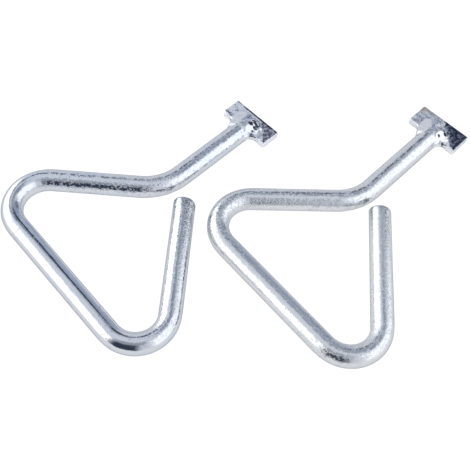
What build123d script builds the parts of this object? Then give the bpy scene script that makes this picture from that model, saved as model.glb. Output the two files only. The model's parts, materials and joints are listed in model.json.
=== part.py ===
from build123d import *
import math
import os

# A pair of light manhole cover lifting keys, lying flat side by side.
# Each key is one round steel bar, bent in a single plane into an open triangular handle and a shank.
# A flat plate stands square across the shank's end, as the T that turns under a cover's keyhole,
# and one weld run above and one below hold it there.
# The frame is millimetres, +X along the pair, +Y towards the heads, +Z up from the resting surface.

os.makedirs("parts", exist_ok=True)

# Stock that both keys share
bar_diameter = 10.0
plate_thickness = 3.5
plate_corner_break = 0.4
free_end_break = 0.6

# Each bar is given from its free end. Its straight lengths run between the corner points that the
# bends round off, and its turns are in degrees, clockwise positive.
keys = {
    "left": {
        "free_end": (-25.3, 4.3),
        "heading": -90.0,
        "leg": 90.1,
        "grip_turn": 134.6,
        "grip_bend_radius": 14.0,
        "grip": 135.7,
        "far_turn": 134.8,
        "far_bend_radius": 14.9,
        "top_bar": 86.3,
        "shank_turn": -48.0,
        "shank_bend_radius": 23.9,
        "shank": 50.7,
        "plate_length": 27.2,
        "plate_width": 10.1,
    },
    "right": {
        "free_end": (62.7, 8.9),
        "heading": -90.2,
        "leg": 92.4,
        "grip_turn": 134.6,
        "grip_bend_radius": 14.2,
        "grip": 127.4,
        "far_turn": 130.7,
        "far_bend_radius": 14.8,
        "top_bar": 80.8,
        "shank_turn": -44.6,
        "shank_bend_radius": 23.1,
        "shank": 54.4,
        "plate_length": 26.8,
        "plate_width": 11.9,
    },
}

# Weld sections: distance past the plate's inner edge, half width, half height
top_weld_sections = [(-5.0, 5.3, 5.3), (-2.0, 6.5, 5.7), (0.6, 8.2, 5.5), (3.2, 6.8, 4.0), (5.2, 4.4, 2.3)]
under_weld_sections = [(-4.6, 5.6, 3.2), (-2.0, 6.5, 3.8), (0.6, 7.8, 4.2), (3.0, 6.2, 3.3), (4.6, 4.0, 2.2)]

bar_radius = bar_diameter / 2
mid_plane = Plane.XY.offset(bar_radius)


def direction(heading):
    return math.cos(math.radians(heading)), math.sin(math.radians(heading))


def bar_corners(key):
    """Corner points of the bar's centre line, from its free end to the plate, and the shank's heading."""
    x, y = key["free_end"]
    heading = key["heading"]
    corners = [(x, y)]
    for length, turn in (
        (key["leg"], key["grip_turn"]),
        (key["grip"], key["far_turn"]),
        (key["top_bar"], key["shank_turn"]),
        (key["shank"], 0),
    ):
        ahead = direction(heading)
        x += length * ahead[0]
        y += length * ahead[1]
        corners.append((x, y))
        heading -= turn
    return corners, heading


def across_shank(key, past_inner_edge):
    """The plane square across the shank there, with its X axis in the key's own plane and its Y axis up."""
    corners, heading = bar_corners(key)
    x, y = corners[-1]
    ahead = direction(heading)
    origin = (x + past_inner_edge * ahead[0], y + past_inner_edge * ahead[1], bar_radius)
    return Plane(origin=origin, x_dir=(-ahead[1], ahead[0], 0), z_dir=(ahead[0], ahead[1], 0))


def bent_bar(key):
    corners, _ = bar_corners(key)
    radii = [key["grip_bend_radius"], key["far_bend_radius"], key["shank_bend_radius"]]
    with BuildPart() as bar:
        with BuildLine(mid_plane) as centre_line:
            FilletPolyline(*corners, radius=radii)
        with BuildSketch(Plane(origin=centre_line.line @ 0, z_dir=centre_line.line % 0)):
            Circle(bar_radius)
        sweep()
        free_face = bar.faces().filter_by(GeomType.PLANE).sort_by(Axis.Y)[0]
        chamfer(free_face.edges(), free_end_break)
    return bar


def head_plate(key):
    with BuildPart() as plate:
        with BuildSketch(across_shank(key, 0)):
            Rectangle(key["plate_length"], plate_thickness)
        extrude(amount=key["plate_width"])
        chamfer(plate.edges().filter_by(Axis.Z), plate_corner_break)
    return plate


def weld_run(key, sections, keep, bar, plate):
    with BuildPart() as run:
        for past_inner_edge, half_width, half_height in sections:
            with BuildSketch(across_shank(key, past_inner_edge)):
                Ellipse(half_width, half_height)
        loft()
        add(plate.part, mode=Mode.SUBTRACT)
        add(bar.part, mode=Mode.SUBTRACT)
        split(bisect_by=mid_plane, keep=keep)
    return run


for side, key in keys.items():
    bar = bent_bar(key)
    plate = head_plate(key)
    pieces = {
        "bent_bar": bar,
        "head_plate": plate,
        "top_weld": weld_run(key, top_weld_sections, Keep.TOP, bar, plate),
        "under_weld": weld_run(key, under_weld_sections, Keep.BOTTOM, bar, plate),
    }
    for name, piece in pieces.items():
        piece.part.label = f"{side}_{name}"
        export_step(piece.part, f"parts/{side}_{name}.step")
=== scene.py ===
import bmesh
import bpy
import json
import math
from mathutils import Matrix, Vector, noise


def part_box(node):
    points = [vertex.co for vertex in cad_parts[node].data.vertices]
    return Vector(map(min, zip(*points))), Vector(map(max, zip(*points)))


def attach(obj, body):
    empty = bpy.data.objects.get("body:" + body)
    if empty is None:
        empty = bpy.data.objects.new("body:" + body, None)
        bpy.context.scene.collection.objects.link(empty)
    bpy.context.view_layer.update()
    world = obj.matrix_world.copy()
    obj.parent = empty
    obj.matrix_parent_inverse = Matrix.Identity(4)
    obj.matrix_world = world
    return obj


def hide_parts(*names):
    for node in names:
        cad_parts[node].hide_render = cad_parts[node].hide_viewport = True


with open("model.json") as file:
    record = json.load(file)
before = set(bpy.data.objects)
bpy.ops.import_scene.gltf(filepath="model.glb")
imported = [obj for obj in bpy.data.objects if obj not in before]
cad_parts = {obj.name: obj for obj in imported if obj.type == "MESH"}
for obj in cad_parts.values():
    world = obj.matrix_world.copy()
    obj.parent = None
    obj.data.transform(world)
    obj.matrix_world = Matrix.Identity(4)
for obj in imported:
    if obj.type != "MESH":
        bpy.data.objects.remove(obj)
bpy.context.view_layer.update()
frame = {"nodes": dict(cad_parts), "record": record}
print("frame loaded:", ", ".join(sorted(frame["nodes"])))

# Everything is made in millimetres and scaled down once, when a piece is finished.
mm = 0.001
up = Vector((0, 0, 1))


def findSocket(sockets, name):
    if isinstance(name, int):
        return sockets[name]
    for socket in sockets:
        if socket.identifier == name:
            return socket
    return sockets[name]


class Wire:
    # One output socket. Arithmetic on it adds Math nodes, or Vector Math where a vector takes part.
    def __init__(self, board, socket):
        self.board = board
        self.socket = socket

    def other(self, name):
        return Wire(self.board, findSocket(self.socket.node.outputs, name))

    def __add__(self, term):
        return self.board.maths("ADD", self, term)

    def __radd__(self, term):
        return self.board.maths("ADD", term, self)

    def __sub__(self, term):
        return self.board.maths("SUBTRACT", self, term)

    def __rsub__(self, term):
        return self.board.maths("SUBTRACT", term, self)

    def __mul__(self, term):
        return self.board.maths("MULTIPLY", self, term)

    def __rmul__(self, term):
        return self.board.maths("MULTIPLY", term, self)

    def __truediv__(self, term):
        return self.board.maths("DIVIDE", self, term)

    def __neg__(self):
        return self.board.maths("MULTIPLY", self, -1)


class Board:
    # A node tree, shader or geometry, that nodes are added to.
    def __init__(self, tree):
        self.tree = tree
        self.asked = None
        tree.nodes.clear()

    def add(self, kind, settings=None, sockets=None, out=0):
        node = self.tree.nodes.new(kind)
        for name, value in (settings or {}).items():
            if name == "items":
                for _ in range(value - 2):
                    node.index_switch_items.new()
            else:
                setattr(node, name, value)
        for name, value in (sockets or {}).items():
            self.plug(findSocket(node.inputs, name), value)
        return Wire(self, findSocket(node.outputs, out)) if node.outputs else None

    def plug(self, socket, value):
        if isinstance(value, Wire):
            self.tree.links.new(value.socket, socket)
        elif socket.type == "VECTOR" and isinstance(value, (int, float)):
            socket.default_value = (value, value, value)
        elif socket.type == "RGBA" and len(value) == 3:
            socket.default_value = (*value, 1)
        else:
            socket.default_value = value

    def maths(self, operation, *terms):
        isVector = any(
            term.socket.type in ("VECTOR", "RGBA") if isinstance(term, Wire) else isinstance(term, tuple)
            for term in terms
        )
        kind = "ShaderNodeVectorMath" if isVector else "ShaderNodeMath"
        out = 1 if isVector and operation in ("LENGTH", "DOT_PRODUCT") else 0
        return self.add(kind, {"operation": operation}, dict(enumerate(terms)), out)

    def vector(self, x, y, z):
        return self.add("ShaderNodeCombineXYZ", None, {0: x, 1: y, 2: z})

    def split(self, vector):
        x = self.add("ShaderNodeSeparateXYZ", None, {0: vector})
        return x, x.other(1), x.other(2)

    def ease(self, value, low, high, first=0.0, last=1.0):
        sockets = {"From Min": low, "From Max": high, "To Min": first, "To Max": last, "Value": value}
        return self.add("ShaderNodeMapRange", {"interpolation_type": "SMOOTHSTEP"}, sockets)

    def mix(self, share, first, second):
        sockets = {"Factor_Float": share, "A_Color": first, "B_Color": second}
        return self.add("ShaderNodeMix", {"data_type": "RGBA"}, sockets, "Result_Color")

    def grain(self, where, scale, detail=2.0, roughness=0.5):
        # Noise between 0 and 1, about 0.5 on average
        sockets = {"Vector": where, "Scale": scale, "Detail": detail, "Roughness": roughness}
        return self.add("ShaderNodeTexNoise", None, sockets)

    def cells(self, where, scale):
        sockets = {"Vector": where, "Scale": scale}
        return self.add("ShaderNodeTexVoronoi", None, sockets)

    def ask(self, name):
        if self.asked is None:
            self.asked = self.add("NodeGroupInput")
        return self.asked.other(name)

    def store(self, geometry, name, value, kind="FLOAT"):
        sockets = {"Geometry": geometry, "Name": name, "Value": value}
        return self.add("GeometryNodeStoreNamedAttribute", {"data_type": kind}, sockets)

    def recall(self, name, kind="FLOAT"):
        return self.add("GeometryNodeInputNamedAttribute", {"data_type": kind}, {"Name": name})

    def hand(self, geometry):
        # Ends a geometry tree
        real = self.add("GeometryNodeRealizeInstances", None, {"Geometry": geometry})
        smooth = self.add("GeometryNodeSetShadeSmooth", None, {"Geometry": real})
        sockets = {"Geometry": smooth, "Material": self.ask("finish")}
        painted = self.add("GeometryNodeSetMaterial", None, sockets)
        self.add("NodeGroupOutput", None, {0: painted})
        return self.tree


def geometryBoard(name, sizes):
    tree = bpy.data.node_groups.new(name, "GeometryNodeTree")
    kinds = {float: "NodeSocketFloat", int: "NodeSocketInt", bpy.types.Material: "NodeSocketMaterial"}
    for label, value in sizes.items():
        tree.interface.new_socket(label, in_out="INPUT", socket_type=kinds[type(value)])
    tree.interface.new_socket("Geometry", in_out="OUTPUT", socket_type="NodeSocketGeometry")
    return Board(tree)


def runTree(name, tree, sizes):
    # Runs a geometry tree once and keeps its result as a plain mesh
    piece = bpy.data.objects.new(name, bpy.data.meshes.new(name))
    bpy.context.scene.collection.objects.link(piece)
    modifier = piece.modifiers.new("make", "NODES")
    modifier.node_group = tree
    for item in tree.interface.items_tree:
        if item.in_out == "INPUT":
            modifier[item.identifier] = sizes[item.name]
    depsgraph = bpy.context.evaluated_depsgraph_get()
    made = bpy.data.meshes.new_from_object(
        piece.evaluated_get(depsgraph), preserve_all_data_layers=True, depsgraph=depsgraph
    )
    piece.modifiers.remove(modifier)
    piece.data = made
    return piece


def finishPiece(piece, body, node, place=Matrix.Identity(4)):
    # From millimetres in the piece's own frame to metres in the object's frame
    piece.data.transform(place @ Matrix.Scale(mm, 4))
    piece.data.update()
    low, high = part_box(node)
    points = [v.co for v in piece.data.vertices]
    off = max(
        max(abs(min(p[i] for p in points) - low[i]), abs(max(p[i] for p in points) - high[i]))
        for i in range(3)
    )
    print(f"{piece.name}: {len(piece.data.polygons)} faces, {off / mm:.2f} mm off the CAD box at most")
    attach(piece, body)
    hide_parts(node)


keyShapes = {
    "left": {
        "freeX": -25.3, "freeY": 4.3, "heading": -90.0,
        "leg": 90.1, "gripTurn": 134.6, "gripBend": 14.0,
        "grip": 135.7, "farTurn": 134.8, "farBend": 14.9,
        "topBar": 86.3, "shankTurn": -48.0, "shankBend": 23.9,
        "shank": 50.7, "plateLength": 27.2, "plateWidth": 10.1,
    },
    "right": {
        "freeX": 62.7, "freeY": 8.9, "heading": -90.2,
        "leg": 92.4, "gripTurn": 134.6, "gripBend": 14.2,
        "grip": 127.4, "farTurn": 130.7, "farBend": 14.8,
        "topBar": 80.8, "shankTurn": -44.6, "shankBend": 23.1,
        "shank": 54.4, "plateLength": 26.8, "plateWidth": 11.9,
    },
}
barDiameter = 10.0
barRadius = barDiameter / 2
plateThickness = 3.5


def headPlace(side):
    # The head's own frame: X out along the shank from the plate's inner edge, Y across it, Z up
    mounts = {mount["name"]: mount for mount in frame["record"]["mounts"]}
    tip = mounts[f"{side}_head_tip"]
    ahead = Vector(tip["axis"]).normalized()
    origin = Vector(tip["pos_m"]) - ahead * keyShapes[side]["plateWidth"] * mm
    across = up.cross(ahead)
    return Matrix.Translation(origin) @ Matrix((ahead, across, up)).transposed().to_4x4()


def shaderBoard(name):
    material = bpy.data.materials.new(name)
    material.use_nodes = True
    return material, Board(material.node_tree)


glancingTint = (0.52, 0.54, 0.58, 1.0)  # plated zinc looks greyer at a glancing angle


def metalSurface(board, colour, roughness, height, depth):
    # height is in millimetres
    bump = board.add("ShaderNodeBump", None, {"Height": height, "Distance": mm * depth, "Strength": 1.0})
    sockets = {
        "Base Color": colour, "Roughness": roughness, "Metallic": 1.0, "Normal": bump,
        "Specular Tint": glancingTint,
    }
    surface = board.add("ShaderNodeBsdfPrincipled", None, sockets)
    board.add("ShaderNodeOutputMaterial", None, {"Surface": surface})


barFinish = {
    "left": {
        "zinc": (0.60, 0.625, 0.66), "blue": (0.50, 0.565, 0.68), "lilac": (0.61, 0.59, 0.66),
        "tintShare": 0.45, "roughness": 0.10, "grainHeight": 0.095, "matte": 0.26,
        "rubbedFrom": 72.0, "rubbedTo": 184.0, "rubbed": 0.8, "legGrain": -0.3, "topGrain": 0.4,
        "dullLength": 12.0, "legSpecks": 0.22, "endSpecks": 0.9, "offset": 0.0,
    },
    "right": {
        "zinc": (0.63, 0.65, 0.67), "blue": (0.54, 0.59, 0.66), "lilac": (0.63, 0.615, 0.66),
        "tintShare": 0.35, "roughness": 0.20, "grainHeight": 0.07, "matte": 0.26,
        "rubbedFrom": 100.0, "rubbedTo": 140.0, "rubbed": 0.3, "legGrain": -0.1, "topGrain": 0.25,
        "dullLength": 55.0, "legSpecks": 0.2, "endSpecks": 0.3, "offset": 37.0,
    },
}
# Both bars: features per millimetre, colours, and millimetres along from the free end
barGrain = {
    "fine": 1.2, "coarse": 0.5, "drift": 0.12, "lines": 3.0, "pits": 0.9, "specks": 2.0, "torn": 0.9,
    "alongFine": (0.7, 1.0, 1.0), "alongDrift": (0.3, 1.0, 1.0), "alongLines": (0.02, 1.0, 1.0),
    "alongPits": (0.6, 1.0, 1.0),
    "pitTone": (0.2, 0.21, 0.24), "speckTone": (0.06, 0.075, 0.08),
    "cutDark": (0.16, 0.18, 0.17), "cutPale": (0.40, 0.43, 0.42),
    "rubbedFade": 12.0, "legEnd": 84.0, "topBarEnd": 249.0, "densestSpecks": 30.0,
}


def barZinc(side):
    look = {**barGrain, **barFinish[side]}
    material, board = shaderBoard(f"{side}BarZinc")
    place = board.add("ShaderNodeAttribute", {"attribute_name": "barCoord"}, None, "Vector")
    endFace = board.add("ShaderNodeAttribute", {"attribute_name": "endFace"}, None, "Fac")
    inside = board.add("ShaderNodeAttribute", {"attribute_name": "bendInside"}, None, "Fac")
    along, sideways = board.split(place)[:2]
    where = place + look["offset"]
    drawn = where * look["alongFine"]  # grain is longer along the bar than round it
    fine = board.grain(drawn, look["fine"], 1.0, 0.6)
    flecks = board.ease(fine, 0.53, 0.61)

    # the grip was rubbed smoother than the rest in the bending die, and the top bar is the coarsest
    fade = look["rubbedFade"]
    rubbed = board.ease(along, look["rubbedFrom"] - fade, look["rubbedFrom"] + fade)
    rubbed = rubbed * board.ease(along, look["rubbedTo"] + fade, look["rubbedTo"] - fade)
    leg = board.ease(along, look["legEnd"] + 6, look["legEnd"] - 6)
    topBar = board.ease(along, look["rubbedTo"] - 4, look["rubbedTo"] + 12)
    topBar = topBar * board.ease(along, look["topBarEnd"] + 13, look["topBarEnd"] - 13)
    grainy = 1.0 - rubbed * look["rubbed"] + leg * look["legGrain"] + topBar * look["topGrain"]

    coarse = board.grain(drawn, look["coarse"], 1.0)
    drift = board.grain(where * look["alongDrift"], look["drift"], 1.0)
    # drawing lines run the whole length
    lines = board.grain(where * look["alongLines"], look["lines"], 1.0)
    pits = board.cells(where * look["alongPits"], look["pits"])
    pitDepth = board.ease(pits, 0.10, 0.30, 1.0, 0.0) * board.ease(coarse, 0.52, 0.62)
    tint = board.mix(board.ease(drift, 0.35, 0.65), look["blue"], look["lilac"])
    colour = board.mix(board.ease(coarse, 0.35, 0.7) * look["tintShare"], look["zinc"], tint)
    colour = board.mix(pitDepth * 0.6, colour, look["pitTone"])

    # the sheared end is dull and stained, and dark specks run down one side of the leg
    nearEnd = board.ease(along, look["dullLength"], look["dullLength"] * 0.3)
    specks = board.ease(board.grain(where, look["specks"], 1.0, 0.5), 0.49, 0.56)
    strip = board.ease(sideways, 0.0, 1.6) * board.ease(sideways, 3.9, 3.0)
    denser = board.ease(along, look["densestSpecks"], 8.0) * 2.2
    strip = strip * (board.ease(along, look["legEnd"], look["legEnd"] - 14) + denser)
    tipped = board.ease(along, 4.5, 2.0) * board.ease(sideways, -2.5, -0.5)
    blotch = specks * board.maths("MAXIMUM", strip * look["legSpecks"], tipped * look["endSpecks"])
    colour = board.mix(blotch, colour, look["speckTone"])
    torn = board.ease(board.grain(where, look["torn"], 3.0, 0.65), 0.35, 0.62)
    cut = board.mix(torn, look["cutDark"], look["cutPale"])
    colour = board.mix(endFace, colour, cut)

    matte = flecks * look["matte"] * grainy
    roughness = look["roughness"] + matte + inside * 0.12 + pitDepth * 0.2 + nearEnd * 0.12 + endFace * 0.15
    height = fine * grainy + coarse * 0.5 + lines * 0.12 - pitDepth * 0.5 + endFace * torn - blotch * 0.4
    metalSurface(board, colour, roughness, height, look["grainHeight"])
    return material


plateFinish = {
    "left": {
        "zinc": (0.80, 0.80, 0.86), "dark": (0.06, 0.065, 0.11), "pale": (0.88, 0.89, 0.93),
        "mottle": (0.42, 0.45, 0.54), "mottleShare": 0.45,
        "stainFrom": -10.6, "stainTo": -13.6, "stainDepth": 0.92, "stainFlecks": 1.0,
        "streaks": 0.85, "rimReflection": 0.9, "warmCorner": 0.0, "offset": 0.0,
    },
    "right": {
        "zinc": (0.70, 0.72, 0.77), "dark": (0.012, 0.025, 0.06), "pale": (0.86, 0.87, 0.90),
        "mottle": (0.12, 0.16, 0.23), "mottleShare": 0.9,
        "stainFrom": -11.2, "stainTo": -12.6, "stainDepth": 0.98, "stainFlecks": 0.42,
        "streaks": 0.25, "rimReflection": 0.3, "warmCorner": 1.0, "offset": 53.0,
    },
}


# Both plates: features per millimetre, colours and millimetres
plateGrain = {
    "fine": 0.85, "coarse": 0.35, "spots": 1.1, "streakGrain": 0.75, "streakStretch": (0.8, 0.22, 0.4),
    "streakTone": (0.10, 0.13, 0.19), "fleckTone": (0.66, 0.68, 0.78), "rimReflectionTone": (0.03, 0.035, 0.05),
    # the colour at the lower arris is painted shade
    "brown": (0.52, 0.37, 0.29), "lowerShadeTone": (0.17, 0.18, 0.20), "worn": (0.86, 0.87, 0.90),
    "stainSlant": 1.15, "smearSlant": 0.47, "smearAt": 9.4, "edgeFrom": 0.05, "edgeTo": 0.25,
    "bumpHeight": 0.10,
}


def plateZinc(side, length, width):
    look = {**plateGrain, **plateFinish[side]}
    material, board = shaderBoard(f"{side}PlateZinc")
    place = board.add("ShaderNodeAttribute", {"attribute_name": "pieceCoord"}, None, "Vector")
    edge = board.add("ShaderNodeAttribute", {"attribute_name": "edge"}, None, "Fac")
    edge = board.ease(edge, look["edgeFrom"], look["edgeTo"])
    out, across, tall = board.split(place)
    where = place + look["offset"]
    fine = board.grain(where, look["fine"], 2.0, 0.7)
    coarse = board.grain(where, look["coarse"], 2.0, 0.6)
    half = plateThickness / 2
    upper = board.ease(tall, half - 0.5, half - 0.2)
    colour = board.mix(board.ease(coarse, 0.4, 0.62), look["zinc"], look["pale"])
    spots = board.ease(board.cells(where, look["spots"]), 0.42, 0.22) * 0.8
    mottled = board.maths("MAXIMUM", board.ease(fine, 0.48, 0.60) * 0.7, spots)
    mottled = mottled * board.ease(coarse, 0.66, 0.46) * upper
    colour = board.mix(mottled * look["mottleShare"], colour, look["mottle"])

    # streaks run out towards the tip on the clean wing, and one long smear crosses it
    streaks = board.grain(where * look["streakStretch"], look["streakGrain"], 2.0, 0.6)
    streaked = board.ease(streaks, 0.51, 0.57) * board.ease(across, 1.5, 4.0) * upper
    aside = out + across * look["smearSlant"] - look["smearAt"] + (fine - 0.5) * 3.0
    smear = board.ease(board.maths("ABSOLUTE", aside), 0.9, 0.4) * upper
    smear = smear * board.ease(across, 4.6, 6.0) * board.ease(across, 10.6, 9.6)
    streaked = board.maths("MAXIMUM", streaked, smear)
    colour = board.mix(streaked * look["streaks"], colour, look["streakTone"])

    # heat from welding has stained one wing, on its upper face
    slant = across - out * look["stainSlant"] + (coarse - 0.5) * 6.0 + (fine - 0.5) * 2.0
    stain = board.ease(slant, look["stainFrom"], look["stainTo"]) * upper
    within = board.ease(slant, look["stainFrom"] - 4.0, look["stainTo"])  # more flecks near its border
    flecks = board.ease(fine, 0.49, 0.54) * look["stainFlecks"] * (0.6 + within * 0.4)
    stained = board.mix(flecks, look["dark"], look["fleckTone"])
    colour = board.mix(stain * look["stainDepth"], colour, stained)

    # a painted dark reflection: a line just inside the outer edge, standing in for a rolled-over lip, not
    # modelled, that would reflect the dark part of the studio
    rim = board.ease(out + (fine - 0.5) * 0.8, width - 1.5, width - 1.1)
    rim = rim * board.ease(out, width - 0.2, width - 0.45)
    rim = rim * board.ease(across, 9.5, 8.0) * board.ease(coarse, 0.36, 0.44) * upper
    colour = board.mix(rim * look["rimReflection"], colour, look["rimReflectionTone"])

    # brown, thin plating at the far corner
    cornerward = (across - length / 2) * 0.8 + out - width
    warm = board.ease(cornerward + (fine - 0.5) * 5.0, -7.0, -2.5)
    colour = board.mix(warm * look["warmCorner"] * 0.75, colour, look["brown"])

    # painted shade: a thin dark line along the lower arris, and the other arrises are worn bright
    lowerEdgeShade = board.ease(tall, 0.8 - half, 0.4 - half)
    colour = board.mix(lowerEdgeShade * 0.85, colour, look["lowerShadeTone"])
    colour = board.mix(edge * (1.0 - lowerEdgeShade) * 0.7, colour, look["worn"])
    roughness = 0.38 + fine * 0.16 + stain * 0.06 - edge * 0.12
    metalSurface(board, colour, roughness, fine + coarse * 1.2, look["bumpHeight"])
    return material


weldFinish = {
    "left": {"zinc": (0.66, 0.68, 0.72), "soot": (0.10, 0.12, 0.16), "offset": 11.0},
    "right": {"zinc": (0.68, 0.69, 0.71), "soot": (0.09, 0.12, 0.17), "offset": 71.0},
}
weldGrain = {
    "fine": 2.2, "coarse": 0.6, "bumpHeight": 0.02,
    "blue": (0.56, 0.59, 0.68), "grey": (0.3, 0.32, 0.38),
}


def weldZinc(side):
    look = {**weldGrain, **weldFinish[side]}
    material, board = shaderBoard(f"{side}WeldZinc")
    place = board.add("ShaderNodeAttribute", {"attribute_name": "pieceCoord"}, None, "Vector")
    where = place + look["offset"]
    hollow = board.add("ShaderNodeAttribute", {"attribute_name": "hollow"}, None, "Fac")
    fine = board.grain(where, look["fine"], 3.0, 0.6)
    coarse = board.grain(where, look["coarse"], 2.0)
    colour = board.mix(board.ease(coarse, 0.4, 0.7) * 0.5, look["zinc"], look["blue"])
    colour = board.mix(board.ease(fine, 0.6, 0.75) * 0.4, colour, look["grey"])
    colour = board.mix(hollow, colour, look["soot"])
    roughness = 0.2 + fine * 0.12 + hollow * 0.2
    metalSurface(board, colour, roughness, fine + coarse * 1.5, look["bumpHeight"])
    return material


barMake = {
    "ringSpacing": 0.5,
    "ringPoints": 64,
    "filletPoints": 60,
    "endRounding": 2.1,
    "flattening": 0.20,
    "wrinkles": 0.16,
    "waviness": 0.05,
}
barSeeds = {"left": 3.7, "right": 41.3}
turnReach = 8  # points to either side that a bend is measured over


def bentBarTree(sizes):
    board = geometryBoard("bentBarTree", sizes)
    ask = board.ask
    radius = ask("barDiameter") / 2
    heading = ask("heading")
    corner = board.vector(ask("freeX"), ask("freeY"), radius)
    corners = []
    runs = (("leg", "gripTurn"), ("grip", "farTurn"), ("topBar", "shankTurn"), ("shank", None))
    for length, turn in runs:
        angle = board.maths("RADIANS", heading)
        ahead = board.vector(board.maths("COSINE", angle), board.maths("SINE", angle), 0.0)
        # the rounded edge of the free end is added afterwards
        corners.append(corner if corners else corner + ahead * ask("endRounding"))
        corner = corner + ahead * ask(length)
        if turn:
            heading = heading - ask(turn)
    corners.append(corner)
    radii = [0.0, ask("gripBend"), ask("farBend"), ask("shankBend"), 0.0]

    index = board.add("GeometryNodeInputIndex")
    line = board.add("GeometryNodeCurvePrimitiveLine", None, {"End": (1.0, 0.0, 0.0)})
    line = board.add("GeometryNodeResampleCurve", {"mode": "COUNT"}, {"Curve": line, "Count": len(corners)})
    where = board.add(
        "GeometryNodeIndexSwitch", {"data_type": "VECTOR", "items": len(corners)},
        {"Index": index, **{i + 1: point for i, point in enumerate(corners)}},
    )
    line = board.add("GeometryNodeSetPosition", None, {"Geometry": line, "Position": where})
    bend = board.add(
        "GeometryNodeIndexSwitch", {"data_type": "FLOAT", "items": len(radii)},
        {"Index": index, **{i + 1: value for i, value in enumerate(radii)}},
    )
    line = board.add(
        "GeometryNodeFilletCurve", {"mode": "POLY"},
        {"Curve": line, "Count": ask("filletPoints"), "Radius": bend, "Limit Radius": True},
    )
    sockets = {"Curve": line, "Length": ask("ringSpacing")}
    line = board.add("GeometryNodeResampleCurve", {"mode": "LENGTH"}, sockets)

    # how far along, which way the bar runs, and how sharply it turns there, left turns positive
    tangent = board.add("GeometryNodeInputTangent")

    def tangentAt(offset):
        kind = {"data_type": "FLOAT_VECTOR"}
        return board.add("GeometryNodeFieldAtIndex", kind, {"Value": tangent, "Index": index + offset})

    turning = board.split(board.maths("CROSS_PRODUCT", tangentAt(-turnReach), tangentAt(turnReach)))[2]
    line = board.store(line, "along", board.add("GeometryNodeSplineParameter", None, None, "Length"))
    line = board.store(line, "turning", turning)
    line = board.store(line, "runs", tangent, "FLOAT_VECTOR")
    line = board.store(line, "centre", board.add("GeometryNodeInputPosition"), "FLOAT_VECTOR")
    sockets = {"Resolution": ask("ringPoints"), "Radius": radius}
    ring = board.add("GeometryNodeCurvePrimitiveCircle", None, sockets)
    bar = board.add("GeometryNodeCurveToMesh", None, {"Curve": line, "Profile Curve": ring})

    position = board.add("GeometryNodeInputPosition")
    radial = position - board.recall("centre", "FLOAT_VECTOR")
    leftward = board.maths("CROSS_PRODUCT", (0.0, 0.0, 1.0), board.recall("runs", "FLOAT_VECTOR"))
    sideways = board.maths("DOT_PRODUCT", radial, leftward) / radius
    upward = board.split(radial)[2] / radius
    along = board.recall("along")
    coord = board.vector(along, sideways * radius, upward * radius)
    bar = board.store(bar, "barCoord", coord, "FLOAT_VECTOR")
    pressed = sideways * board.recall("turning") * 2.2
    bar = board.store(bar, "bendInside", board.ease(pressed, 0.1, 1.0))

    # the bending die flattens the outside a little, and the inside crumples finely
    where = board.recall("barCoord", "FLOAT_VECTOR")
    crumple = board.grain(where * (1.0, 0.35, 0.35) + ask("seed"), 0.9, 2.0) - 0.5
    wave = board.grain(position + ask("seed"), 0.07, 1.0) - 0.5
    outward = (
        wave * ask("waviness")
        + crumple * ask("wrinkles") * board.ease(pressed, 0.25, 0.95)
        - board.ease(-pressed, 0.2, 1.0) * ask("flattening")
    )
    moved = board.maths("NORMALIZE", radial) * outward
    bar = board.add("GeometryNodeSetPosition", None, {"Geometry": bar, "Offset": moved})
    return board.hand(bar)


# The rounding goes from the shallowest share of endRounding on one side to the deepest on the other
freeEnd = {"steps": 9, "faceRings": 10, "shallowest": 0.52, "deepest": 1.0}


def closeBar(bar, shape):
    # Rounds and closes the sheared free end, and closes the end under the weld
    grown = bmesh.new()
    grown.from_mesh(bar.data)
    endFace = grown.verts.layers.float.new("endFace")
    coord = grown.verts.layers.float_vector["barCoord"]
    grown.verts.ensure_lookup_table()
    count = barMake["ringPoints"]
    angle = math.radians(shape["heading"])
    outward = -Vector((math.cos(angle), math.sin(angle), 0))
    first = grown.verts[:count]
    last = grown.verts[-count:]
    centre = sum((v.co for v in first), Vector()) / count
    deepest = barMake["endRounding"]
    spokes = [(v.co - centre).normalized() for v in first]
    # the blade has drawn one edge over further than the other
    middle = (freeEnd["deepest"] + freeEnd["shallowest"]) / 2
    swing = (freeEnd["deepest"] - freeEnd["shallowest"]) / 2
    breaks = [deepest * (middle + swing * spoke.x) for spoke in spokes]
    steps = freeEnd["steps"]
    ring = first
    for step in range(1, steps + freeEnd["faceRings"]):
        fresh = []
        for spoke, reach in zip(spokes, breaks):
            turn = min(step / steps, 1.0) * math.pi / 2
            edgeOut = deepest - reach + reach * math.sin(turn)
            size = barRadius - reach * (1 - math.cos(turn))
            if step > steps:
                size *= 1 - (step - steps) / freeEnd["faceRings"]
            flat = centre + spoke * size
            ragged = noise.noise(flat * 0.9) * 0.16 + noise.noise(flat * 2.3) * 0.06
            depth = edgeOut - (abs(ragged) if step >= steps else 0.0)
            vert = grown.verts.new(flat + outward * depth)
            vert[endFace] = min(max((step - steps + 2) / 3, 0.0), 1.0)
            acrossPlace = spoke.dot(up.cross(-outward)) * size
            vert[coord] = (-depth - 0.5 * (barRadius - size), acrossPlace, spoke.z * size)
            fresh.append(vert)
        for i in range(count):
            j = (i + 1) % count
            grown.faces.new((ring[i], ring[j], fresh[j], fresh[i]))
        ring = fresh
    for rim in (ring, last):
        hub = grown.verts.new(sum((v.co for v in rim), Vector()) / count)
        hub[endFace] = 1.0
        hub[coord] = rim[0][coord]
        for i in range(count):
            grown.faces.new((rim[i], rim[(i + 1) % count], hub))
    bmesh.ops.recalc_face_normals(grown, faces=grown.faces)
    for face in grown.faces:
        face.smooth = True
    grown.to_mesh(bar.data)
    grown.free()


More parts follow.
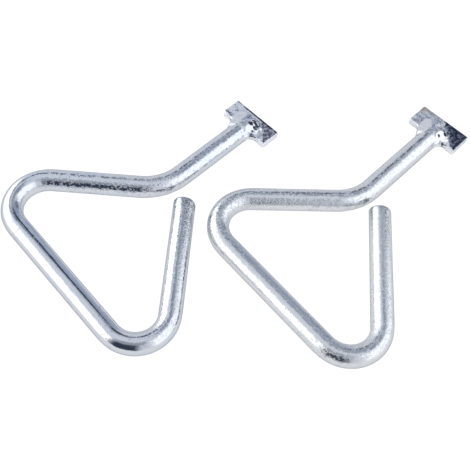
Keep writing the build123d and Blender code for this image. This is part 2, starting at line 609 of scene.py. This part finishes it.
def makeBar(side):
    shape = keyShapes[side]
    lengths = {name: value for name, value in shape.items() if not name.startswith("plate")}
    sizes = {
        **lengths, **barMake, "barDiameter": barDiameter,
        "seed": barSeeds[side], "finish": barZinc(side),
    }
    tree = bpy.data.node_groups.get("bentBarTree") or bentBarTree(sizes)
    bar = runTree(f"{side}BentBar", tree, sizes)
    closeBar(bar, shape)
    finishPiece(bar, f"{side}_key", f"{side}_bent_bar")


plateMake = {
    "gridSpacing": 0.22,
    "edgeRadius": 0.55,
    "wear": 0.32,
    "hammering": 0.07,
}
plateSeeds = {"left": 5.1, "right": 23.9}


def headPlateTree(sizes):
    board = geometryBoard("headPlateTree", sizes)
    ask = board.ask
    size = board.vector(ask("plateWidth"), ask("plateLength"), ask("plateThickness"))
    sides = ("plateWidth", "plateLength", "plateThickness")
    counts = [ask(name) / ask("gridSpacing") + 2.0 for name in sides]
    slab = board.add(
        "GeometryNodeMeshCube", None,
        {"Size": size, "Vertices X": counts[0], "Vertices Y": counts[1], "Vertices Z": counts[2]},
    )
    position = board.add("GeometryNodeInputPosition")
    reach = size * 0.5 - ask("edgeRadius")
    core = board.maths("MINIMUM", board.maths("MAXIMUM", position, -reach), reach)
    normal = board.maths("NORMALIZE", position - core)
    rounded = core + normal * ask("edgeRadius") + board.vector(ask("plateWidth") / 2, 0.0, 0.0)
    slab = board.store(slab, "face", normal, "FLOAT_VECTOR")
    slab = board.store(slab, "rounded", rounded, "FLOAT_VECTOR")
    place = board.recall("rounded", "FLOAT_VECTOR")
    slab = board.add("GeometryNodeSetPosition", None, {"Geometry": slab, "Position": place})
    slab = board.store(slab, "pieceCoord", board.add("GeometryNodeInputPosition"), "FLOAT_VECTOR")
    normal = board.recall("face", "FLOAT_VECTOR")
    x, y, z = board.split(board.maths("ABSOLUTE", normal))
    edge = 1.0 - board.maths("MAXIMUM", board.maths("MAXIMUM", x, y), z)
    slab = board.store(slab, "edge", edge)
    where = board.recall("pieceCoord", "FLOAT_VECTOR") + ask("seed")
    nicks = board.ease(board.grain(where, 0.55, 3.0, 0.6), 0.45, 0.75) * board.ease(edge, 0.0, 0.2)
    ripple = board.grain(where, 0.22, 1.0) - 0.5
    moved = normal * (ripple * ask("hammering") - nicks * ask("wear"))
    slab = board.add("GeometryNodeSetPosition", None, {"Geometry": slab, "Offset": moved})
    return board.hand(slab)


def makePlate(side):
    length = keyShapes[side]["plateLength"]
    width = keyShapes[side]["plateWidth"]
    sizes = {
        "plateLength": length, "plateWidth": width, "plateThickness": plateThickness, **plateMake,
        "seed": plateSeeds[side], "finish": plateZinc(side, length, width),
    }
    tree = bpy.data.node_groups.get("headPlateTree") or headPlateTree(sizes)
    plate = runTree(f"{side}HeadPlate", tree, sizes)
    finishPiece(plate, f"{side}_key", f"{side}_head_plate", headPlace(side))


# The bar runs on as a nose that slopes down to the plate, and metal fans out from one side of it.
# Falls are in degrees, and all other sizes in millimetres.
weldMake = {
    "fanFrom": -6.0, "fanTo": 0.5, "sideFall": 84.0, "softness": 1.5, "sunk": 0.05, "sinkDepth": 1.4,
    "gussetRadius": 5.8, "webHeight": 1.6, "inset": 0.6,
    "blendRadius": 1.0, "wideFillet": 4.5, "tightFillet": 0.8,
    "lumps": 0.45, "voxel": 0.2, "reachAlong": 8.6, "reachAcross": 12.6, "reachUp": 6.4,
    "smallestBead": 0.12, "largestBead": 0.34,
}
weldRuns = {
    "top": {"beads": 0.03, "beadSeed": 4, "face": 1.0},
    "under": {"beads": 0.0, "beadSeed": 9, "face": -1.0},
}
weldShapes = {
    "left": {
        "seed": 2.0, "toeFall": 24.0, "noseFall": 31.0, "noseFrom": 1.2,
        "middleAlong": 0.2, "middleAcross": -0.4, "halfLength": 7.6, "halfWidth": 9.8,
    },
    "right": {
        "seed": 17.0, "toeFall": 27.0, "noseFall": 35.0, "noseFrom": 0.6,
        "middleAlong": -0.4, "middleAcross": 0.2, "halfLength": 7.0, "halfWidth": 8.8,
    },
}
# craters: distance past the plate's inner edge, across, radius, depth
weldCraters = {
    "left": (
        (2.6, -2.2, 1.00, 0.9), (4.6, -3.4, 0.70, 0.9), (6.2, -5.6, 0.95, 0.9),
        (2.8, -5.0, 0.80, 0.8), (5.6, -1.8, 0.90, 0.8), (4.2, -4.9, 0.75, 0.9), (0.6, -5.4, 0.40, 0.5),
    ),
    "right": (
        (0.2, -3.6, 0.55, 0.6), (3.9, -4.9, 0.75, 0.7), (4.6, -3.4, 0.55, 0.5), (-0.6, -7.2, 0.50, 0.5),
    ),
}
underCraters = ((1.5, 3.0, 0.6, 0.5), (3.5, -1.5, 0.5, 0.4))


def weldTree(name, sizes, craters):
    board = geometryBoard(name, sizes)
    ask = board.ask
    place = board.add("GeometryNodeInputPosition")
    along, across, tall = board.split(place)
    lump = board.grain(place + ask("seed"), 0.33, 1.0) - 0.5
    finer = board.grain(place + ask("seed"), 0.95, 1.0) - 0.5

    def joined(first, second, radius):
        # the two bodies with a round fillet of that radius between them
        left = board.maths("MAXIMUM", radius - first, 0.0)
        right = board.maths("MAXIMUM", radius - second, 0.0)
        near = board.maths("MAXIMUM", radius, board.maths("MINIMUM", first, second))
        return near - board.maths("SQRT", left * left + right * right)

    # distances to the bar and the plate
    besideAxis = board.maths("SQRT", across * across + tall * tall) - ask("barRadius")
    bar = board.maths("MAXIMUM", besideAxis, along)
    half = board.vector(ask("plateWidth") / 2, ask("plateLength") / 2, ask("plateThickness") / 2)
    beyond = board.maths("ABSOLUTE", place - board.vector(ask("plateWidth") / 2, 0.0, 0.0)) - half
    x, y, z = board.split(beyond)
    deepest = board.maths("MAXIMUM", board.maths("MAXIMUM", x, y), z)
    outside = board.maths("LENGTH", board.maths("MAXIMUM", beyond, (0.0, 0.0, 0.0)))
    plate = outside + board.maths("MINIMUM", deepest, 0.0)

    # the fan is a plane that touches the bar, steep at the back and flatter at the plate
    height = ask("face") * tall
    softness = ask("softness")

    def slope(fall, run):
        return height * board.maths("COSINE", fall) + run * board.maths("SINE", fall) - ask("barRadius")

    toeFall = board.ease(along, ask("fanFrom"), ask("fanTo"), ask("sideFall"), ask("toeFall"))
    toeFall = board.maths("RADIANS", toeFall)
    inner = ask("barRadius") * board.maths("SINE", toeFall) + across
    toe = board.maths("SMOOTH_MAX", slope(toeFall, -across), inner, 0.5)
    noseFall = board.maths("RADIANS", ask("noseFall"))
    pastNose = along - ask("noseFrom")
    nose = board.maths("SMOOTH_MAX", besideAxis, slope(noseFall, pastNose), softness)
    roof = joined(nose, toe, 1.2)
    roof = board.maths("SMOOTH_MAX", roof, slope(noseFall, pastNose - 0.8), 1.0)
    offAlong = (along - ask("middleAlong")) / ask("halfLength")
    offAcross = (across - ask("middleAcross")) / ask("halfWidth")
    oval = board.maths("SQRT", offAlong * offAlong + offAcross * offAcross) - 1.0
    roof = board.maths("SMOOTH_MAX", roof, oval * ask("halfLength"), softness)
    # it sinks into the bar towards the back
    roof = roof + board.ease(along, -0.5, -5.5) * ask("sinkDepth")

    # a web fills both corners beside the bar, level with the plate, and the roof keeps to its outline
    besideBar = board.maths("ABSOLUTE", across) - (ask("barRadius") - ask("inset"))
    besidePlate = board.maths("ABSOLUTE", across) - ask("plateLength") / 2 + ask("inset")
    outline = joined(besideBar, board.maths("MAXIMUM", -along, besidePlate), ask("gussetRadius"))
    web = board.maths("MAXIMUM", outline, along - 1.2)
    web = board.maths("SMOOTH_MAX", web, board.maths("ABSOLUTE", tall) - ask("webHeight"), 1.2)
    roof = board.maths("SMOOTH_MAX", roof, outline, softness) + (lump + finer * 0.4) * ask("lumps")

    body = joined(bar + ask("sunk"), roof, ask("blendRadius"))
    clean = board.ease(across, -1.0, 2.5) * board.ease(along, -7.0, -2.5)
    fillet = ask("tightFillet") + (ask("wideFillet") - ask("tightFillet")) * clean
    body = joined(body, board.maths("MINIMUM", web + lump * 0.3, plate + ask("sunk")), fillet)

    hollow = None
    skin = board.ease(height, 0.0, 1.0)
    for craterAlong, craterAcross, craterRadius, depth in craters:
        aside = board.maths("LENGTH", board.vector(along - craterAlong, (across - craterAcross) * 0.8, 0.0))
        within = craterRadius + finer * 0.5 - aside
        body = board.maths("SMOOTH_MAX", body, board.maths("MINIMUM", within, body + depth), 0.12)
        hollow = within if hollow is None else board.maths("MAXIMUM", hollow, within)
    reach = board.vector(ask("reachAlong"), ask("reachAcross"), ask("reachUp"))
    edgeOut = board.maths("LENGTH", place / reach) - 1.0
    body = board.maths("MAXIMUM", body, edgeOut * 6.0)
    body = board.maths("MAXIMUM", body, -height - 0.03)
    # A fault, kept because it was found after the shapes were settled: this cuts the under weld off
    # just below the middle. floorDepth should be ask("barRadius"), which is where the table is.
    floorDepth = craters[-1][2]
    body = board.maths("SMOOTH_MAX", body, 0.1 - tall - floorDepth, 0.15)

    box = reach * 1.03
    steps = [ask(name) * 2.06 / ask("voxel") for name in ("reachAlong", "reachAcross", "reachUp")]
    cloud = board.add(
        "GeometryNodeVolumeCube", None,
        {"Density": 0.5 - body * 0.5, "Background": 0.0, "Min": -box, "Max": box,
         "Resolution X": steps[0], "Resolution Y": steps[1], "Resolution Z": steps[2]},
    )
    sockets = {"Volume": cloud, "Threshold": 0.5}
    metal = board.add("GeometryNodeVolumeToMesh", {"resolution_mode": "GRID"}, sockets)

    # spatter beads, thrown on to the bar and the plate round the weld
    points = board.add(
        "GeometryNodeDistributePointsOnFaces", None,
        {"Mesh": metal, "Density": ask("beads"), "Seed": ask("beadSeed")},
    )
    sockets = {"Min_001": ask("smallestBead"), "Max_001": ask("largestBead"), "Seed": ask("beadSeed")}
    width = board.add("FunctionNodeRandomValue", None, sockets, "Value_001")
    bead = board.add("GeometryNodeMeshIcoSphere", None, {"Radius": 1.0, "Subdivisions": 3})
    sockets = {"Points": points, "Instance": bead, "Scale": width}
    beads = board.add("GeometryNodeInstanceOnPoints", None, sockets)
    metal = board.add("GeometryNodeJoinGeometry", None, {"Geometry": metal})
    board.plug(metal.socket.node.inputs[0], beads)
    metal = board.add("GeometryNodeRealizeInstances", None, {"Geometry": metal})
    metal = board.store(metal, "pieceCoord", place, "FLOAT_VECTOR")
    metal = board.store(metal, "hollow", board.ease(hollow, -0.15, 0.1) * skin)
    return board.hand(metal)


def makeWeld(side, run):
    shape = keyShapes[side]
    sizes = {
        **weldMake, **weldShapes[side], **weldRuns[run],
        "barRadius": barRadius, "plateThickness": plateThickness,
        "plateLength": shape["plateLength"], "plateWidth": shape["plateWidth"],
        "finish": bpy.data.materials.get(f"{side}WeldZinc") or weldZinc(side),
    }
    craters = weldCraters[side] if run == "top" else underCraters
    tree = weldTree(f"{side}{run.capitalize()}WeldTree", sizes, craters)
    weld = runTree(f"{side}{run.capitalize()}Weld", tree, sizes)
    finishPiece(weld, f"{side}_key", f"{side}_{run}_weld", headPlace(side))


for side in ("left", "right"):
    makeBar(side)
    makePlate(side)
    makeWeld(side, "top")
    makeWeld(side, "under")
print("both keys made")


# The size is in metres, and the table gives off light of its own so that it shows white. To the left of the
# keys it glows brighter, a painted pool of light.
tableMake = {"size": 6.0, "white": (0.12, 0.12, 0.121), "glow": 0.95, "paintedLightPool": 0.15}

# Soft light by direction. Azimuth 0 looks over the heads, 90 to the right key's side; degrees.
studio = {
    "overhead": (0.90, 0.94, 1.02),
    "level": (0.88, 0.90, 0.97),
    "seen": (1.0, 1.0, 1.0),
    "cards": (
        # azimuth, elevation, half width, half height, softness, colour
        (-83, 27, 46, 26, 7, (2.2, 2.2, 2.15)),
        (98, 30, 42, 30, 9, (1.6, 1.62, 1.66)),
        (-161, 24, 28, 27, 9, (0.05, 0.065, 0.10)),
        (-165, 61, 42, 13, 9, (0.42, 0.45, 0.50)),
        (20, 5, 14, 28, 4, (0.60, 0.68, 0.86)),
        (40, 24, 9, 18, 5, (0.13, 0.17, 0.24)),
        (22, 28, 10, 14, 6, (0.40, 0.46, 0.58)),
        (0, 46, 36, 8, 4, (0.40, 0.45, 0.54)),
        (16, 53, 16, 7, 4, (0.50, 0.55, 0.63)),
        (32, 66, 42, 8, 5, (0.34, 0.39, 0.48)),
        (-21, 46, 8, 7, 3, (0.08, 0.10, 0.16)),
        (4, 41, 10, 8, 3, (0.06, 0.07, 0.10)),
    ),
}


def makeTable():
    half = tableMake["size"] / 2
    table = bpy.data.meshes.new("table")
    corners = [(-half, -half, 0), (half, -half, 0), (half, half, 0), (-half, half, 0)]
    table.from_pydata(corners, [], [(0, 1, 2, 3)])
    piece = bpy.data.objects.new("table", table)
    bpy.context.scene.collection.objects.link(piece)
    material, board = shaderBoard("paleTable")
    white = board.add("ShaderNodeBsdfDiffuse", None, {"Color": tableMake["white"]})
    aside = board.split(board.add("ShaderNodeTexCoord", None, None, "Object"))[0]
    # a painted pool of light: the glow is stronger towards the left of the keys
    glowAndPaintedPool = board.ease(aside, -0.30, -0.06, tableMake["glow"] + tableMake["paintedLightPool"], tableMake["glow"])
    glow = board.add("ShaderNodeEmission", None, {"Strength": glowAndPaintedPool})
    surface = board.add("ShaderNodeAddShader", None, {0: white, 1: glow})
    board.add("ShaderNodeOutputMaterial", None, {"Surface": surface})
    table.materials.append(material)


def lightStudio():
    world = bpy.data.worlds.new("studio")
    bpy.context.scene.world = world
    world.use_nodes = True
    board = Board(world.node_tree)
    direction = board.add("ShaderNodeTexCoord", None, None, "Generated")
    x, y, z = board.split(board.maths("NORMALIZE", direction))
    azimuth = board.maths("DEGREES", board.maths("ARCTAN2", x, y))
    elevation = board.maths("DEGREES", board.maths("ARCSINE", z))
    colour = board.mix(board.ease(elevation, 10.0, 70.0), studio["level"], studio["overhead"])
    for centre, height, halfWidth, halfHeight, soft, tint in studio["cards"]:
        turned = board.add(
            "ShaderNodeMath", {"operation": "WRAP"}, {0: azimuth - centre, 1: 180.0, 2: -180.0}
        )
        beside = board.maths("ABSOLUTE", turned)
        above = board.maths("ABSOLUTE", elevation - height)
        inside = board.ease(beside, halfWidth - soft, halfWidth + soft, 1.0, 0.0)
        inside = inside * board.ease(above, halfHeight - soft, halfHeight + soft, 1.0, 0.0)
        colour = board.mix(inside, colour, tint)
    seen = board.add("ShaderNodeLightPath", None, None, "Is Camera Ray")
    colour = board.mix(seen, colour, studio["seen"])
    light = board.add("ShaderNodeBackground", None, {"Color": colour, "Strength": 1.0})
    board.add("ShaderNodeOutputWorld", None, {"Surface": light})


# The lens and the aim are in millimetres, the distance in metres, the rest in degrees
cameraSet = {"lens": 60.5, "distance": 0.3469, "elevation": 58.7, "roll": 4.9, "aim": (-1.58, -10.86, 5.0)}


def placeCamera():
    lens = bpy.data.cameras.new("camera")
    lens.lens = cameraSet["lens"]
    lens.sensor_width = 36.0
    lens.clip_start = 0.01
    camera = bpy.data.objects.new("camera", lens)
    bpy.context.scene.collection.objects.link(camera)
    tilt = math.radians(cameraSet["elevation"])
    back = Vector((0, -math.cos(tilt), math.sin(tilt)))
    turn = Matrix.Rotation(math.pi / 2 - tilt, 4, "X")
    turn = turn @ Matrix.Rotation(math.radians(cameraSet["roll"]), 4, "Z")
    stand = Vector(cameraSet["aim"]) * mm + back * cameraSet["distance"]
    camera.matrix_world = Matrix.Translation(stand) @ turn
    bpy.context.scene.camera = camera


makeTable()
lightStudio()
placeCamera()
bpy.context.scene.view_settings.view_transform = "Standard"
bpy.context.scene.view_settings.look = "None"
print("table, light and camera set")
